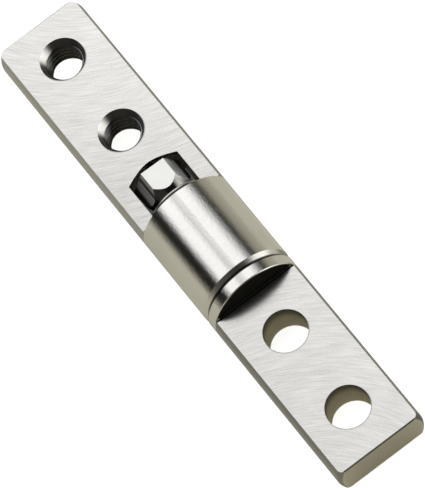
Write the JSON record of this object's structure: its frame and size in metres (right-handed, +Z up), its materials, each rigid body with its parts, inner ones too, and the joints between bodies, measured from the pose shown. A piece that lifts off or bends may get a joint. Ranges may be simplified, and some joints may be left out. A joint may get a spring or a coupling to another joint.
{
  "type": "torque hinge",
  "caption": "In-line torque hinge: a threaded leaf with a friction barrel, and a plain-hole leaf on a shaft that turns about the bar's own axis and stays where it is put.",
  "frame": {"origin": "on the hinge axis, at half the hinge's overall length", "axes": "+X along the hinge axis from the threaded fixed leaf to the plain-hole moving leaf, +Z up out of the leaves' flats, +Y across them"},
  "size_m": [0.07, 0.012, 0.012],
  "materials": {
    "nickel_steel": "nickel-plated steel, milled flats with fine slanting marks, polished round surfaces",
    "polished_steel": "bright plated, polished",
    "spring_steel": "hardened spring steel, lightly oiled",
    "hardened_steel": "hardened and ground",
    "bronze": "plain bearing bronze, greased",
    "dark_steel": "blackened spring steel sheet"
  },
  "bodies": {
    "fixed_side": {"fixed_leaf": "nickel_steel", "thrust_washer": "dark_steel", "mouth_bush": "bronze", "stator_plate_1": "bronze", "stator_plate_2": "bronze", "stator_plate_3": "bronze", "stator_plate_4": "bronze", "stator_plate_5": "bronze"},
    "moving_side": {"moving_leaf": "nickel_steel", "hex_nut": "polished_steel", "end_washer": "spring_steel", "pressure_plate": "hardened_steel", "rotor_plate_1": "hardened_steel", "rotor_plate_2": "hardened_steel", "rotor_plate_3": "hardened_steel", "rotor_plate_4": "hardened_steel", "disc_spring_1": "spring_steel", "disc_spring_2": "spring_steel", "disc_spring_3": "spring_steel", "disc_spring_4": "spring_steel"}
  },
  "joints": [
    {"name": "leaf_turn", "type": "hinge", "parent": "fixed_side", "child": "moving_side", "pos_m": [0, 0, 0], "axis": [1, 0, 0], "continuous": true}
  ]
}
